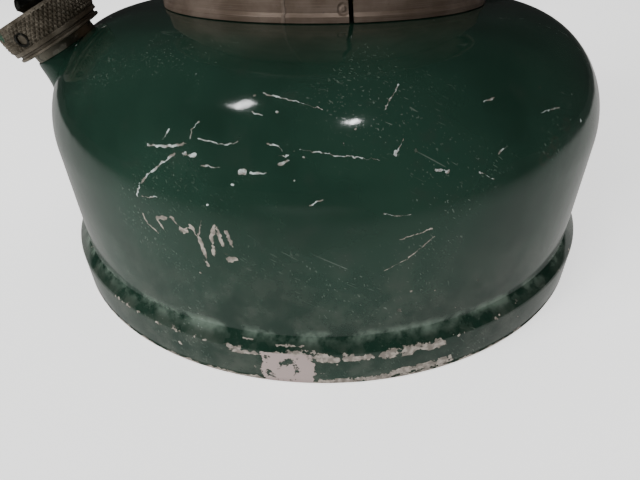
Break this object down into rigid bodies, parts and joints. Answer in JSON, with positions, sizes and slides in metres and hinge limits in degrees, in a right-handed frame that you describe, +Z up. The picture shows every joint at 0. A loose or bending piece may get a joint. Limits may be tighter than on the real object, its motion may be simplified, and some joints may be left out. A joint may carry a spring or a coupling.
{
  "type": "camping lantern",
  "caption": "Liquid-fuel pressure lantern: round enamelled tank with filler cap and hand pump, collar, valve wheel, mantle burner in a glass globe, vented hood and wire bail.",
  "frame": {"origin": "centre of the foot ring, on the surface it stands on, on the tank's axis", "axes": "+Z up along the lantern's axis; the valve wheel faces -Y; the filler cap is on the +X side"},
  "size_m": [0.1735, 0.172, 0.308],
  "materials": {
    "green_enamel": "glossy dark green enamel, chipped and scratched",
    "nickel_band": "brushed nickel plate",
    "aged_nickel": "nickel plate worn to dark olive brass",
    "dark_screw": "dull dark steel",
    "brass": "dull machined brass",
    "steel": "zinc-plated steel",
    "wire": "nickel-plated spring wire",
    "burner_iron": "heat-darkened cast metal",
    "ceramic": "unglazed ceramic",
    "mantle_cloth": "white ash cloth",
    "globe_glass": "clear heat-proof glass",
    "wheel_black": "black moulded phenolic",
    "leather": "oiled leather",
    "rubber": "black rubber",
    "nickel_ball": "polished nickel"
  },
  "bodies": {
    "tank": {"tank_shell": "green_enamel", "tank_bottom": "steel", "filler_neck": "aged_nickel", "pump_barrel": "brass", "check_valve_body": "brass", "check_ball": "steel", "pump_cap": "aged_nickel", "centre_bushing": "brass", "valve_body": "brass", "packing_nut": "brass", "cleaner_packing_nut": "brass", "pickup_tube": "brass", "collar": "nickel_band", "frame_plate": "nickel_band", "frame_nut": "steel", "heat_shield": "steel", "guard_loop_left": "wire", "guard_loop_right": "wire", "bail_ear_left": "steel", "bail_ear_right": "steel", "generator_tube": "brass", "generator_nut": "brass", "generator_jet": "brass", "intake_tube": "burner_iron", "manifold": "burner_iron", "burner_cap_left": "ceramic", "burner_cap_right": "ceramic", "burner_screens": "steel", "mantle_left": "mantle_cloth", "mantle_right": "mantle_cloth", "mantle_ties": "mantle_cloth", "hood_stud": "steel"},
    "cap_seal": {"cap_gasket": "rubber", "cap_insert": "brass"},
    "filler_cap": {"cap_shell": "aged_nickel", "cap_screw": "dark_screw"},
    "piston": {"pump_cup": "leather", "cup_washer": "brass", "cup_nut": "brass"},
    "plunger": {"plunger_rod": "steel", "pump_knob": "wheel_black"},
    "air_valve": {"air_stem": "steel"},
    "fuel_valve": {"valve_stem": "brass", "valve_wheel": "wheel_black", "wheel_screw": "dark_screw"},
    "pickup": {"pickup_rod": "brass"},
    "cleaner": {"cleaner_lever": "steel"},
    "cleaning_needle": {"cleaning_rod": "steel"},
    "carrying_bail": {"bail": "wire"},
    "glass": {"globe": "globe_glass"},
    "ventilator": {"ventilator_skirt": "green_enamel", "ventilator_baffle": "steel", "ventilator_hat": "green_enamel", "ventilator_brackets": "steel", "hood_rivets": "steel", "ball_washer": "steel"},
    "top_nut": {"ball_nut": "nickel_ball"}
  },
  "joints": [
    {"name": "cap_turn", "type": "hinge", "parent": "cap_seal", "child": "filler_cap", "pos_m": [0.07123, 0.02178, 0.06314], "axis": [0.4342, 0.1327, 0.891], "range_deg": [0, 1260]},
    {"name": "cap_lift", "type": "slide", "parent": "tank", "child": "cap_seal", "axis": [0.4342, 0.1327, 0.891], "range_m": [0, 0.0055]},
    {"name": "pump_slide", "type": "slide", "parent": "tank", "child": "piston", "axis": [-0.6037, -0.5065, 0.6157], "range_m": [0, 0.05]},
    {"name": "pump_turn", "type": "hinge", "parent": "piston", "child": "plunger", "pos_m": [-0.05886, -0.04939, 0.06047], "axis": [-0.6037, -0.5065, 0.6157], "range_deg": [0, 450]},
    {"name": "air_stem_turn", "type": "hinge", "parent": "tank", "child": "air_valve", "pos_m": [-0.05886, -0.04939, 0.06047], "axis": [-0.6037, -0.5065, 0.6157], "range_deg": [0, 450]},
    {"name": "valve_turn", "type": "hinge", "parent": "tank", "child": "fuel_valve", "pos_m": [0, -0.057, 0.091], "axis": [0, -1, 0], "range_deg": [0, 450]},
    {"name": "pickup_rod_lift", "type": "slide", "parent": "tank", "child": "pickup", "axis": [0, 0, 1], "range_m": [0, 0.00255]},
    {"name": "cleaner_turn", "type": "hinge", "parent": "tank", "child": "cleaner", "pos_m": [0.04915, -0.03442, 0.103], "axis": [0.8192, -0.5736, 0], "range_deg": [0, 180]},
    {"name": "cleaning_rod_lift", "type": "slide", "parent": "tank", "child": "cleaning_needle", "axis": [0, 0, 1], "range_m": [0, 0.00305]},
    {"name": "bail_swing", "type": "hinge", "parent": "tank", "child": "carrying_bail", "pos_m": [0, 0, 0.234], "axis": [1, 0, 0], "range_deg": [0, 297]},
    {"name": "globe_lift", "type": "slide", "parent": "tank", "child": "glass", "axis": [0, 0, 1], "range_m": [0, 0.19]},
    {"name": "ventilator_lift", "type": "slide", "parent": "glass", "child": "ventilator", "axis": [0, 0, 1], "range_m": [0, 0.07]},
    {"name": "ball_nut_turn", "type": "hinge", "parent": "ventilator", "child": "top_nut", "pos_m": [0, 0, 0.295], "axis": [0, 0, 1], "range_deg": [0, 1080]}
  ],
  "couplings": [
    {"joint": "cap_lift", "follows": "cap_turn", "m_per_rad": 0.00023873},
    {"joint": "air_stem_turn", "follows": "pump_turn", "ratio": 1},
    {"joint": "pickup_rod_lift", "follows": "valve_turn", "m_per_rad": 0.00031831},
    {"joint": "cleaning_rod_lift", "follows": "cleaner_turn", "m_per_rad": 0.00095493}
  ]
}
